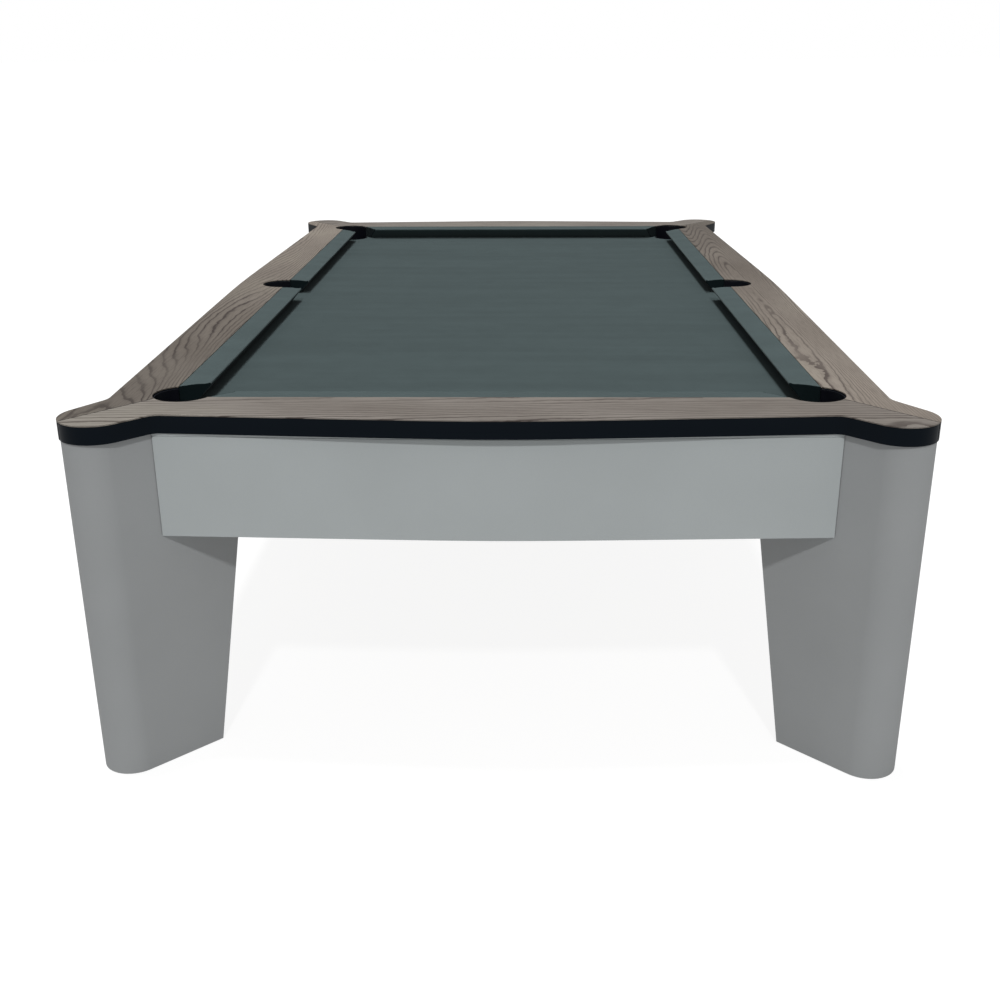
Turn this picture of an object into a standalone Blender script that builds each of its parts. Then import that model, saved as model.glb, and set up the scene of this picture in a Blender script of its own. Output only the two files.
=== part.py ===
"""Nine-foot drop-pocket pool table on four diagonal blade legs.

Metres, +Z up, +Y along the table. The origin is on the floor under the table's centre.
Plan shapes are drawn for the quadrant with +X and +Y and mirrored from there.
"""

from math import acos, atan2, cos, hypot, pi, radians, sin, sqrt

import bmesh
import bpy
from mathutils import Matrix, Vector

GAP = 0.0003
CUT_PAST = 0.01

# Playing surface, nose to nose, and where the wood meets the cushion cloth
HALF_PLAY_X = 0.635
HALF_PLAY_Y = 1.270
CUSHION_WIDTH = 0.059
WOOD_X = HALF_PLAY_X + CUSHION_WIDTH
WOOD_Y = HALF_PLAY_Y + CUSHION_WIDTH

# Heights above the floor
RAIL_TOP = 0.795
CAP_THICKNESS = 0.003
BAND_BOTTOM = 0.755
NOSE_Z = 0.7897
BED_TOP = 0.753
CLOTH_THICKNESS = 0.0012
SLATE_THICKNESS = 0.0254
LINER_THICKNESS = 0.019
APRON_BOTTOM = 0.531
LEG_BOTTOM = 0.003

SLATE_TOP = BED_TOP - CLOTH_THICKNESS - GAP
SLATE_BOTTOM = SLATE_TOP - SLATE_THICKNESS
FRAME_TOP = SLATE_BOTTOM - GAP
LINER_BOTTOM = FRAME_TOP - LINER_THICKNESS
APRON_TOP = BAND_BOTTOM - GAP

# Outer edge of the rails: each side is a shallow tent with a rounded ridge
RIDGE_ROUND = 0.12
SIDE_RIDGE = 0.8400
SIDE_SLOPE = 0.0205
END_RIDGE = 1.4990
END_SLOPE = 0.0690
END_KINK_X = 0.688
SIDE_KINK_Y = 1.345
KINK_ROUND = 0.014
LOBE_CENTRE = Vector((0.799, 1.465))
LOBE_RADIUS = 0.076
LOBE_MITRE_ANGLE = radians(34)
MITRE_GAP = 0.0022

# Pockets
POCKET_RADIUS = 0.064
CORNER_POCKET = Vector((HALF_PLAY_X + 0.0325, HALF_PLAY_Y + 0.0325))
SIDE_POCKET = Vector((0.702, 0.0))
SIDE_THROAT_RADIUS = 0.047
SIDE_THROAT = SIDE_POCKET + Vector((POCKET_RADIUS - SIDE_THROAT_RADIUS, 0.0))
POCKET_MITRE_ANGLE = radians(37)
SLATE_SETBACK = 0.003
CLOTH_SETBACK = 0.0015
CUP_GAP = 0.0008
CUP_WALL = 0.0025
CUP_BOTTOM = 0.635
CUP_CHAMFER = 0.012
CUP_STEPS = 40
CUP_RIM_DROP = 0.0015
CUP_TOP = RAIL_TOP - CAP_THICKNESS - CUP_RIM_DROP
CUP_FLARE_HEIGHT = 0.012
CUP_FLARE_BOTTOM = BED_TOP + 2 * GAP
CUP_FLARE_TOP = CUP_FLARE_BOTTOM + CUP_FLARE_HEIGHT
CORNER_NOSE_CUT = 0.071
SIDE_NOSE_CUT = 0.0625

# Cushion section: distance from the wood edge towards the nose, height above the bed
CUSHION_TOP_DROP = 0.0008
CUSHION_SHOULDER = 0.036
CUSHION_SHOULDER_DROP = 0.0022
NOSE_RADIUS = 0.0035
CUSHION_FOOT = 0.030
FEATHER_WIDTH = 0.0060
FEATHER_DEPTH = 0.0090
FEATHER_COVER = 0.0014
FEATHER_TRIM = 0.004

# Slates
SLATE_HALF_X = 0.710
SLATE_HALF_Y = 1.345
SLATE_JOINT_Y = 0.448
LINER_WIDTH = 0.095
LINER_POCKET_GAP = 0.004

# Aprons
APRON_THICKNESS = 0.022
APRON_END_RIDGE = 1.479
APRON_END_SLOPE = 0.040
APRON_SIDE_RIDGE = 0.824
APRON_SIDE_SLOPE = 0.010
APRON_SEAM = 0.0018

# Legs: a blade at 45 degrees with a round outer nose and an inner edge that leans
LEG_CENTRE = Vector((0.805, 1.469))
LEG_HALF_THICKNESS = 0.066
LEG_INNER_AT_FLOOR = 0.181
LEG_INNER_AT_TOP = 0.315
LEG_TOP = BAND_BOTTOM - GAP
CUP_CLEARANCE = 0.003
SLATE_CLEARANCE = 0.002
SLATE_CLEARANCE_BOTTOM = 0.693

# Screw feet
FOOT_REACH = 0.055
PAD_RADIUS = 0.025
PAD_HEIGHT = 0.008
PAD_CHAMFER = 0.001
PAD_RECESS_RADIUS = 0.027
PAD_RECESS_TOP = 0.0086
STUD_RADIUS = 0.005
STUD_TOP = 0.060
STUD_CLEARANCE = 0.002

# Base frame under the slates
BEAM_WIDTH = 0.040
BEAM_BOTTOM = 0.600
LONG_BEAM_X = 0.560
LONG_BEAM_HALF = 1.180
END_BEAM_Y = 1.160

QUADRANTS = (
    ("near_left", -1, -1),
    ("near_right", 1, -1),
    ("far_left", -1, 1),
    ("far_right", 1, 1),
)


# ---------------------------------------------------------------- materials


def make_material(name, colour, roughness, metallic=0.0):
    material = bpy.data.materials.new(name)
    material.use_nodes = True
    shader = material.node_tree.nodes["Principled BSDF"]
    shader.inputs["Base Color"].default_value = (*colour, 1.0)
    shader.inputs["Roughness"].default_value = roughness
    shader.inputs["Metallic"].default_value = metallic
    material.diffuse_color = (*colour, 1.0)
    return material


# ---------------------------------------------------------------- object helpers


def clear_scene():
    for obj in list(bpy.data.objects):
        bpy.data.objects.remove(obj, do_unlink=True)


def new_collection(name, hidden=False):
    collection = bpy.data.collections.new(name)
    bpy.context.scene.collection.children.link(collection)
    collection.hide_render = hidden
    return collection


def add_to(collection, obj, material=None):
    for other in list(obj.users_collection):
        other.objects.unlink(obj)
    collection.objects.link(obj)
    if material is not None:
        obj.data.materials.clear()
        obj.data.materials.append(material)
    return obj


def as_cutter(obj):
    obj.hide_render = True
    obj.display_type = "WIRE"
    return add_to(cutters, obj)


def curve_mesh(name, points, thickness):
    """The closed prism of a flat outline, centred on Z = 0."""
    curve = bpy.data.curves.new(name, "CURVE")
    curve.dimensions = "2D"
    curve.fill_mode = "BOTH"
    curve.extrude = thickness / 2
    spline = curve.splines.new("POLY")
    spline.points.add(len(points) - 1)
    for slot, point in zip(spline.points, points):
        slot.co = (point[0], point[1], 0.0, 1.0)
    spline.use_cyclic_u = True
    source = bpy.data.objects.new(name, curve)
    bpy.context.scene.collection.objects.link(source)
    bpy.context.view_layer.update()
    graph = bpy.context.evaluated_depsgraph_get()
    mesh = bpy.data.meshes.new_from_object(source.evaluated_get(graph))
    bpy.data.objects.remove(source, do_unlink=True)
    bpy.data.curves.remove(curve)
    close_and_face_out(mesh)
    return mesh


def close_and_face_out(mesh):
    """Joins the caps to the walls and turns every face outwards."""
    work = bmesh.new()
    work.from_mesh(mesh)
    bmesh.ops.remove_doubles(work, verts=work.verts, dist=1e-6)
    bmesh.ops.recalc_face_normals(work, faces=work.faces)
    if work.calc_volume(signed=True) < 0:
        bmesh.ops.reverse_faces(work, faces=work.faces)
    work.to_mesh(mesh)
    work.free()


def mesh_object(name, mesh, collection, material=None, location=(0, 0, 0), rotation=(0, 0, 0)):
    mesh.name = name
    obj = bpy.data.objects.new(name, mesh)
    obj.location = location
    obj.rotation_euler = rotation
    return add_to(collection, obj, material)


def plate(name, points, bottom, top, material):
    """A flat outline in plan, standing from bottom to top."""
    mesh = curve_mesh(name, points, top - bottom)
    return mesh_object(name, mesh, table, material, (0, 0, (bottom + top) / 2))


def box(name, low, high, material, rotation_z=0.0):
    bpy.ops.mesh.primitive_cube_add(size=1)
    obj = bpy.context.active_object
    obj.name = name
    size = [b - a for a, b in zip(low, high)]
    obj.data.transform(Matrix.Diagonal((*size, 1)))
    obj.location = [(a + b) / 2 for a, b in zip(low, high)]
    obj.rotation_euler = (0, 0, rotation_z)
    obj.data.name = name
    return add_to(table, obj, material)


def cylinder(name, radius, bottom, top, plan, sides, collection, material=None):
    bpy.ops.mesh.primitive_cylinder_add(vertices=sides, radius=radius, depth=top - bottom)
    obj = bpy.context.active_object
    obj.name = name
    obj.data.name = name
    obj.location = (plan[0], plan[1], (bottom + top) / 2)
    add_to(collection, obj, material)
    shade_round(obj)
    return obj


def shade_round(obj):
    obj.data.shade_smooth()
    obj.data.set_sharp_from_angle(angle=radians(40))


def cut(obj, cutter):
    modifier = obj.modifiers.new("Cut " + cutter.name, "BOOLEAN")
    modifier.operation = "DIFFERENCE"
    modifier.solver = "EXACT"
    modifier.object = cutter


def bevel(obj, width, segments=1, angle=40):
    modifier = obj.modifiers.new("Bevel", "BEVEL")
    modifier.width = width
    modifier.segments = segments
    modifier.limit_method = "ANGLE"
    modifier.angle_limit = radians(angle)


# ---------------------------------------------------------------- plan geometry


def arc(centre, radius, start, end, steps):
    """Points from angle start to angle end about centre, both ends included."""
    turns = [start + (end - start) * i / steps for i in range(steps + 1)]
    return [Vector((centre[0] + radius * cos(a), centre[1] + radius * sin(a))) for a in turns]


def mirrored(points, sx, sy):
    return [Vector((p[0] * sx, p[1] * sy)) for p in points]


def tent(ridge, slope, along):
    """Distance of a bulging side from the centre line, at this distance along it."""
    return ridge - slope * (hypot(along, RIDGE_ROUND) - RIDGE_ROUND)


def tangent_angle(point, centre, radius, side):
    """Angle on the circle where the line from an outside point touches it."""
    offset = Vector(point) - Vector(centre)
    angle = atan2(offset.y, offset.x) + side * acos(radius / offset.length)
    return angle + 2 * pi if angle < -pi else angle


def rounded_corner(before, corner, after, radius, steps=4):
    """A short quadratic blend in place of a corner."""
    start = corner + (before - corner).normalized() * radius
    end = corner + (after - corner).normalized() * radius
    parts = [i / steps for i in range(steps + 1)]
    return [(1 - t) ** 2 * start + 2 * t * (1 - t) * corner + t**2 * end for t in parts]


def end_outer_edge(steps=12):
    """Outer edge of an end rail from its middle to the mitre at the lobe."""
    xs = [END_KINK_X * i / steps for i in range(steps + 1)]
    edge = [Vector((x, tent(END_RIDGE, END_SLOPE, x))) for x in xs]
    touch = tangent_angle(edge[-1], LOBE_CENTRE, LOBE_RADIUS, -1)
    lobe = arc(LOBE_CENTRE, LOBE_RADIUS, touch, LOBE_MITRE_ANGLE, 22)
    return edge[:-1] + rounded_corner(edge[-2], edge[-1], lobe[0], KINK_ROUND) + lobe


def side_outer_edge(steps=12):
    """Outer edge of a side rail from its middle to the mitre at the lobe."""
    ys = [SIDE_KINK_Y * i / steps for i in range(steps + 1)]
    edge = [Vector((tent(SIDE_RIDGE, SIDE_SLOPE, y), y)) for y in ys]
    touch = tangent_angle(edge[-1], LOBE_CENTRE, LOBE_RADIUS, 1)
    lobe = arc(LOBE_CENTRE, LOBE_RADIUS, touch, LOBE_MITRE_ANGLE, 14)
    return edge[:-1] + rounded_corner(edge[-2], edge[-1], lobe[0], KINK_ROUND) + lobe


def mitre_shift(edge, pocket, side):
    """Moves a rail's two mitre points back by half the joint's gap."""
    along = (edge[-1] - pocket[0]).normalized()
    across = Vector((-along.y, along.x)) * side * MITRE_GAP / 2
    edge[-1] = edge[-1] + across
    pocket[0] = pocket[0] + across


def end_rail_outline(setback=0.0):
    """Plan of an end rail: outer edge, two mitres, pocket cut-outs and the wood edge."""
    edge = end_outer_edge()
    reach = WOOD_Y + setback - CORNER_POCKET.y
    last = pi - atan2(reach, sqrt(POCKET_RADIUS**2 - reach**2))
    pocket = arc(CORNER_POCKET, POCKET_RADIUS, POCKET_MITRE_ANGLE, last, 20)
    mitre_shift(edge, pocket, 1)
    half = edge + pocket
    return half + mirrored(half, -1, 1)[:0:-1]


def side_rail_outline(setback=0.0):
    """Plan of a side rail, with half of each corner pocket and the side pocket cut out."""
    edge = side_outer_edge()
    reach = WOOD_X + setback - CORNER_POCKET.x
    last = -acos(reach / POCKET_RADIUS)
    pocket = arc(CORNER_POCKET, POCKET_RADIUS, POCKET_MITRE_ANGLE, last, 18)
    mitre_shift(edge, pocket, -1)
    mouth = acos((WOOD_X + setback - SIDE_POCKET.x) / POCKET_RADIUS)
    middle = arc(SIDE_POCKET, POCKET_RADIUS, mouth, 0, 14)
    half = edge + pocket + middle
    return half + mirrored(half, 1, -1)[-2:0:-1]


# ---------------------------------------------------------------- rails and cushions


def add_rails():
    seat = RAIL_TOP - CAP_THICKNESS
    for name, sign in (("near", -1), ("far", 1)):
        outline = mirrored(end_rail_outline(), 1, sign)
        plate("rail_cap_" + name, outline, seat, RAIL_TOP, oak)
        outline = mirrored(end_rail_outline(GAP), 1, sign)
        plate("rail_core_" + name, outline, BAND_BOTTOM, seat - GAP, black_lacquer)
    for name, sign in (("left", -1), ("right", 1)):
        outline = mirrored(side_rail_outline(), sign, 1)
        plate("rail_cap_" + name, outline, seat, RAIL_TOP, oak)
        outline = mirrored(side_rail_outline(GAP), sign, 1)
        plate("rail_core_" + name, outline, BAND_BOTTOM, seat - GAP, black_lacquer)


def groove_heights():
    """Bottom and top of the groove in a cushion's back that takes the feather strip."""
    lip = RAIL_TOP - CUSHION_TOP_DROP - FEATHER_COVER
    return lip - FEATHER_DEPTH, lip


def cushion_section():
    """Cushion profile: X from the wood edge to the nose, Y up, from the groove round to the foot."""
    back = GAP
    inner = back + FEATHER_WIDTH
    ledge, lip = groove_heights()
    foot_z = BED_TOP + GAP
    groove = [Vector((back, ledge)), Vector((inner, ledge)), Vector((inner, lip)), Vector((back, lip))]
    shoulder = Vector((CUSHION_SHOULDER, RAIL_TOP - CUSHION_SHOULDER_DROP))
    centre = Vector((CUSHION_WIDTH - NOSE_RADIUS, NOSE_Z - NOSE_RADIUS * 0.35))
    nose = arc(centre, NOSE_RADIUS, radians(70), radians(-35), 6)
    rest = [Vector((CUSHION_FOOT, foot_z)), Vector((back, foot_z))]
    return groove + [Vector((back, RAIL_TOP - CUSHION_TOP_DROP)), shoulder] + nose + rest


def feather_section():
    ledge, lip = groove_heights()
    low = Vector((GAP, ledge + GAP))
    high = Vector((FEATHER_WIDTH, lip - GAP))
    return [low, Vector((high.x, low.y)), high, Vector((low.x, high.y))]


def rail_bar(name, section, ends, middle, turn, material):
    """A section extruded along a rail, each end cut to the pocket's facing.

    ends holds (length at the wood edge, extra length per metre towards the nose) for -Y and +Y.
    """
    mesh = curve_mesh(name, section, 1.0)
    for vertex in mesh.vertices:
        across, up, along = vertex.co
        length, lean = ends[0] if along < 0 else ends[1]
        vertex.co = (-across, (-1 if along < 0 else 1) * (length + lean * across), up)
    close_and_face_out(mesh)
    return mesh_object(name, mesh, table, material, middle, (0, 0, turn))


def add_cushions():
    reach = WOOD_X - CORNER_POCKET.x
    corner = sqrt(POCKET_RADIUS**2 - reach**2)
    offset = SIDE_POCKET.x - WOOD_X
    side = sqrt(POCKET_RADIUS**2 - offset**2)
    end_at_wood = CORNER_POCKET.x - corner - GAP
    end_lean = (HALF_PLAY_X - CORNER_NOSE_CUT - end_at_wood) / CUSHION_WIDTH
    side_far = CORNER_POCKET.y - corner - GAP
    side_far_lean = (HALF_PLAY_Y - CORNER_NOSE_CUT - side_far) / CUSHION_WIDTH
    side_near = side + GAP
    side_near_lean = (SIDE_NOSE_CUT - side_near) / CUSHION_WIDTH
    places = [("near", (0, -WOOD_Y, 0), -pi / 2, 0), ("far", (0, WOOD_Y, 0), pi / 2, 0)]
    for end, sy in (("near", -1), ("far", 1)):
        places.append(("left_" + end, (-WOOD_X, 0, 0), pi, -sy))
        places.append(("right_" + end, (WOOD_X, 0, 0), 0.0, sy))
    for name, place, turn, half in places:
        if half == 0:
            ends = ((end_at_wood, end_lean), (end_at_wood, end_lean))
        elif half > 0:
            ends = ((-side_near, -side_near_lean), (side_far, side_far_lean))
        else:
            ends = ((side_far, side_far_lean), (-side_near, -side_near_lean))
        rail_bar("cushion_" + name, cushion_section(), ends, place, turn, green_cloth)
        short = [(length - FEATHER_TRIM, lean) for length, lean in ends]
        rail_bar("feather_strip_" + name, feather_section(), short, place, turn, beech)


# ---------------------------------------------------------------- bed


def corner_notch(setback, half_x, half_y, steps=22):
    """The pocket's arc through a plate's corner, from its long edge to its short edge."""
    radius = POCKET_RADIUS + setback
    from_x = half_x - CORNER_POCKET.x
    from_y = half_y - CORNER_POCKET.y
    start = -acos(from_x / radius)
    end = -(2 * pi - (pi - atan2(from_y, sqrt(radius**2 - from_y**2))))
    return arc(CORNER_POCKET, radius, start, end, steps)


def side_notch(setback, half_x, steps=22):
    """The side pocket's throat cut into a plate's long edge, from -Y to +Y."""
    radius = SIDE_THROAT_RADIUS + setback
    turn = acos((half_x - SIDE_THROAT.x) / radius)
    return arc(SIDE_THROAT, radius, -turn, turn - 2 * pi, steps)


def add_bed():
    corner = corner_notch(SLATE_SETBACK, SLATE_HALF_X, SLATE_HALF_Y)
    side = side_notch(SLATE_SETBACK, SLATE_HALF_X)
    joint = SLATE_JOINT_Y
    half = [Vector((SLATE_HALF_X, joint + GAP))] + corner
    outline = half + mirrored(half, -1, 1)[::-1]
    for name, sign in (("near", -1), ("far", 1)):
        plate("slate_" + name, mirrored(outline, 1, sign), SLATE_BOTTOM, SLATE_TOP, slate)
    half = [Vector((SLATE_HALF_X, -joint))] + side + [Vector((SLATE_HALF_X, joint))]
    plate("slate_middle", half + mirrored(half, -1, 1)[::-1], SLATE_BOTTOM, SLATE_TOP, slate)

    corner = corner_notch(CLOTH_SETBACK, SLATE_HALF_X, SLATE_HALF_Y)
    side = side_notch(CLOTH_SETBACK, SLATE_HALF_X)
    right = mirrored(corner, 1, -1)[::-1] + side + corner
    plate("bed_cloth", right + mirrored(right, -1, 1)[::-1], SLATE_TOP + GAP, BED_TOP, green_cloth)
    add_slate_liners()


def add_slate_liners():
    """Wooden strips under the slate's edges, which the cloth is stapled to."""
    inner_x = SLATE_HALF_X - LINER_WIDTH
    inner_y = SLATE_HALF_Y - LINER_WIDTH
    side_end = CORNER_POCKET.y - POCKET_RADIUS - SLATE_SETBACK - LINER_POCKET_GAP
    end_end = CORNER_POCKET.x - POCKET_RADIUS - SLATE_SETBACK - LINER_POCKET_GAP
    notch = side_notch(SLATE_SETBACK, SLATE_HALF_X)
    outline = [Vector((SLATE_HALF_X, -side_end))] + notch + [Vector((SLATE_HALF_X, side_end))]
    outline += [Vector((inner_x, side_end)), Vector((inner_x, -side_end))]
    for name, sign in (("left", -1), ("right", 1)):
        plate("slate_liner_" + name, mirrored(outline, sign, 1), LINER_BOTTOM, FRAME_TOP, beech)
    for name, sign in (("near", -1), ("far", 1)):
        low, high = sorted((sign * inner_y, sign * SLATE_HALF_Y))
        box("slate_liner_" + name, (-end_end, low, LINER_BOTTOM), (end_end, high, FRAME_TOP), beech)


# ---------------------------------------------------------------- pockets


def cup_rings(radius, flare_radius, flare_shift):
    """Circles of a cup as (shift along X, radius, height), from its floor inside, over the rim and down.

    Above the bed the wall opens out to the flare radius about a centre moved by the flare's shift.
    """
    outer = radius - CUP_GAP
    inner = outer - CUP_WALL
    top_outer = flare_radius - CUP_GAP
    top_inner = top_outer - CUP_WALL
    floor = CUP_BOTTOM + CUP_WALL
    inside = [(0, inner - CUP_CHAMFER, floor), (0, inner, floor + CUP_CHAMFER)]
    outside = [(0, outer, CUP_BOTTOM + CUP_CHAMFER), (0, outer - CUP_CHAMFER, CUP_BOTTOM)]
    if flare_shift:
        inside.append((0, inner, CUP_FLARE_BOTTOM + CUP_WALL))
        inside.append((flare_shift, top_inner, CUP_FLARE_TOP + CUP_WALL))
        outside = [(flare_shift, top_outer, CUP_FLARE_TOP), (0, outer, CUP_FLARE_BOTTOM)] + outside
    return inside + [(flare_shift, top_inner, CUP_TOP), (flare_shift, top_outer, CUP_TOP)] + outside


def cup_mesh(name, rings):
    """An open-topped cup bridged from a stack of circles, closed by a disc at each end."""
    mesh = bpy.data.meshes.new(name)
    work = bmesh.new()
    below = []
    for index, (shift, radius, height) in enumerate(rings):
        is_end = index in (0, len(rings) - 1)
        place = Matrix.Translation((shift, 0, height))
        size = {"segments": CUP_STEPS, "radius": radius, "matrix": place}
        made = bmesh.ops.create_circle(work, cap_ends=is_end, **size)
        circle = list({edge for vertex in made["verts"] for edge in vertex.link_edges})
        if below:
            bmesh.ops.bridge_loops(work, edges=below + circle)
        below = circle
    bmesh.ops.recalc_face_normals(work, faces=work.faces)
    work.to_mesh(mesh)
    work.free()
    return mesh


def add_cup(name, centre, rings, wood_x, wood_y):
    """A pocket cup; above the bed its wall is left only behind the wood's edges."""
    cup = mesh_object(name, cup_mesh(name, rings), table, black_plastic, (*centre, 0))
    reach = 3 * POCKET_RADIUS
    low_x, high_x = sorted((wood_x, wood_x - (reach if centre[0] > 0 else -reach)))
    if wood_y is None:
        low_y, high_y = -reach, reach
    else:
        low_y, high_y = sorted((wood_y, wood_y - (reach if centre[1] > 0 else -reach)))
    bpy.ops.mesh.primitive_cube_add(size=1)
    cutter = bpy.context.active_object
    cutter.name = "mouth_" + name
    bottom = BED_TOP - CLOTH_THICKNESS
    top = CUP_TOP + CUT_PAST
    size = (high_x - low_x, high_y - low_y, top - bottom)
    cutter.data.transform(Matrix.Diagonal((*size, 1)))
    cutter.location = ((low_x + high_x) / 2, (low_y + high_y) / 2, (bottom + top) / 2)
    as_cutter(cutter)
    cut(cup, cutter)


def add_cups():
    rings = cup_rings(POCKET_RADIUS, POCKET_RADIUS, 0)
    for name, sx, sy in QUADRANTS:
        centre = (CORNER_POCKET.x * sx, CORNER_POCKET.y * sy)
        add_cup("pocket_cup_" + name, centre, rings, WOOD_X * sx, WOOD_Y * sy)
    for name, sx in (("middle_left", -1), ("middle_right", 1)):
        rings = cup_rings(SIDE_THROAT_RADIUS, POCKET_RADIUS, (SIDE_POCKET.x - SIDE_THROAT.x) * sx)
        add_cup("pocket_cup_" + name, (SIDE_THROAT.x * sx, 0.0), rings, WOOD_X * sx, None)


# ---------------------------------------------------------------- legs and feet


def leg_direction(sx, sy):
    return Vector((sx, sy)) / sqrt(2)


def leg_mesh(name):
    """A blade along local X: round nose at +X, inner end leaning in towards the top."""
    half = LEG_HALF_THICKNESS
    outline = arc((0, 0), half, -pi / 2, pi / 2, 28)
    outline += [Vector((-LEG_INNER_AT_TOP, half)), Vector((-LEG_INNER_AT_TOP, -half))]
    height = LEG_TOP - LEG_BOTTOM
    mesh = curve_mesh(name, outline, height)
    lean = LEG_INNER_AT_TOP - LEG_INNER_AT_FLOOR
    for vertex in mesh.vertices:
        if vertex.co.x < -half and vertex.co.z < 0:
            vertex.co.x += lean
    return mesh


def add_legs():
    for name, sx, sy in QUADRANTS:
        out = leg_direction(sx, sy)
        centre = Vector((LEG_CENTRE.x * sx, LEG_CENTRE.y * sy))
        place = (*centre, (LEG_TOP + LEG_BOTTOM) / 2)
        turn = atan2(out.y, out.x)
        leg = mesh_object("leg_" + name, leg_mesh(name), table, silver_paint, place, (0, 0, turn))
        add_leg_cuts(leg, name, sx, sy, centre - out * FOOT_REACH)
        shade_round(leg)
        add_foot(name, centre - out * FOOT_REACH)


def add_leg_cuts(leg, name, sx, sy, foot):
    """The hollow for the pocket cup, the foot's recess and the hole for its stud."""
    pocket = (CORNER_POCKET.x * sx, CORNER_POCKET.y * sy)
    radius = POCKET_RADIUS + SLATE_SETBACK
    low = CUP_BOTTOM - CUP_CLEARANCE
    cuts = (
        ("cup_hollow_", radius, low, LEG_TOP + CUT_PAST, pocket, 36),
        ("pad_recess_", PAD_RECESS_RADIUS, -CUT_PAST, PAD_RECESS_TOP, foot, 32),
        ("stud_hole_", STUD_RADIUS + GAP, 0.0, STUD_TOP + STUD_CLEARANCE, foot, 12),
    )
    for label, size, bottom, top, plan, sides in cuts:
        cutter = cylinder(label + name, size, bottom, top, plan, sides, cutters)
        as_cutter(cutter)
        cut(leg, cutter)
    reach = Vector((SLATE_HALF_X, SLATE_HALF_Y)) + Vector((SLATE_CLEARANCE, SLATE_CLEARANCE))
    low = (-reach.x, -reach.y, SLATE_CLEARANCE_BOTTOM)
    corner = box("slate_clearance_" + name, low, (*reach, RAIL_TOP), None)
    as_cutter(corner)
    cut(leg, corner)


def add_foot(name, plan):
    pad = cylinder("foot_pad_" + name, PAD_RADIUS, 0.0, PAD_HEIGHT, plan, 24, table, black_plastic)
    bevel(pad, PAD_CHAMFER)
    bottom = PAD_HEIGHT + GAP
    cylinder("foot_stud_" + name, STUD_RADIUS, bottom, STUD_TOP, plan, 12, table, steel)


# ---------------------------------------------------------------- aprons and frame


def blade_face(fixed, towards_side):
    """Where a line at this distance from a centre line meets the nearer face of the leg."""
    reach = (LEG_HALF_THICKNESS + APRON_SEAM) * sqrt(2)
    if towards_side:
        return LEG_CENTRE.y + (fixed - LEG_CENTRE.x) - reach
    return LEG_CENTRE.x + (fixed - LEG_CENTRE.y) - reach


def apron_end(ridge, slope, back, towards_side):
    """How far along an apron's outer face, moved in by back, meets the leg."""
    along = blade_face(ridge - back, towards_side)
    for _ in range(20):
        along = blade_face(tent(ridge, slope, along) - back, towards_side)
    return along


def apron_points(ridge, slope, towards_side, steps=10):
    end = apron_end(ridge, slope, 0.0, towards_side)
    inner_end = apron_end(ridge, slope, APRON_THICKNESS, towards_side)
    outer = [end * i / steps for i in range(-steps, steps + 1)]
    points = [(s, tent(ridge, slope, s)) for s in outer]
    inner = [inner_end * i / steps for i in range(steps, -steps - 1, -1)]
    points += [(s, tent(ridge, slope, s) - APRON_THICKNESS) for s in inner]
    return points


def add_aprons():
    ends = apron_points(APRON_END_RIDGE, APRON_END_SLOPE, False)
    for name, sign in (("near", -1), ("far", 1)):
        outline = mirrored(ends, 1, sign)
        plate("apron_" + name, outline, APRON_BOTTOM, APRON_TOP, silver_paint)
    sides = apron_points(APRON_SIDE_RIDGE, APRON_SIDE_SLOPE, True)
    for name, sign in (("left", -1), ("right", 1)):
        outline = [Vector((across * sign, along)) for along, across in sides]
        plate("apron_" + name, outline, APRON_BOTTOM, APRON_TOP, silver_paint)


def add_frame():
    half = BEAM_WIDTH / 2
    for name, sign in (("left", -1), ("right", 1)):
        low = (sign * LONG_BEAM_X - half, -LONG_BEAM_HALF, BEAM_BOTTOM)
        high = (sign * LONG_BEAM_X + half, LONG_BEAM_HALF, FRAME_TOP)
        box("long_beam_" + name, low, high, pine)
    inner = LONG_BEAM_X - half - GAP
    places = (("end_beam_near", -END_BEAM_Y), ("end_beam_far", END_BEAM_Y))
    places += (("cross_beam_near", -SLATE_JOINT_Y), ("cross_beam_far", SLATE_JOINT_Y))
    for name, y in places:
        box(name, (-inner, y - half, BEAM_BOTTOM), (inner, y + half, FRAME_TOP), pine)
    add_brackets()


def add_brackets():
    """Blocks that join the legs' inner edges to the long beams."""
    for name, sx, sy in QUADRANTS:
        out = leg_direction(sx, sy)
        centre = Vector((LEG_CENTRE.x * sx, LEG_CENTRE.y * sy))
        inner = centre - out * (LEG_INNER_AT_TOP + GAP)
        points = bracket_points(sx, sy, inner)
        plate("corner_bracket_" + name, points, BEAM_BOTTOM, LINER_BOTTOM - GAP, pine)


def bracket_points(sx, sy, inner):
    """A five-sided block against the leg's inner edge, the long beam's end and its side."""
    out = leg_direction(sx, sy)
    across = Vector((-out.y, out.x)) * LEG_HALF_THICKNESS
    first, second = inner + across, inner - across
    if abs(first.x) < abs(second.x):
        first, second = second, first
    end_y = sy * (LONG_BEAM_HALF + GAP)
    return [first, second, Vector((second.x, end_y)), Vector((first.x, end_y))]


# ---------------------------------------------------------------- build

clear_scene()
table = new_collection("pool_table")
cutters = new_collection("cutters", hidden=True)

oak = make_material("oak_veneer", (0.24, 0.20, 0.165), 0.45)
black_lacquer = make_material("black_lacquer", (0.012, 0.016, 0.019), 0.35)
silver_paint = make_material("silver_paint", (0.29, 0.315, 0.315), 0.42)
green_cloth = make_material("green_cloth", (0.080, 0.114, 0.108), 0.95)
slate = make_material("slate", (0.09, 0.095, 0.10), 0.8)
beech = make_material("beech", (0.50, 0.36, 0.22), 0.6)
pine = make_material("pine", (0.58, 0.42, 0.25), 0.65)
black_plastic = make_material("black_plastic", (0.008, 0.009, 0.010), 0.5)
steel = make_material("steel", (0.55, 0.56, 0.57), 0.3, 1.0)

add_rails()
add_cushions()
add_bed()
add_cups()
add_legs()
add_aprons()
add_frame()
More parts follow.
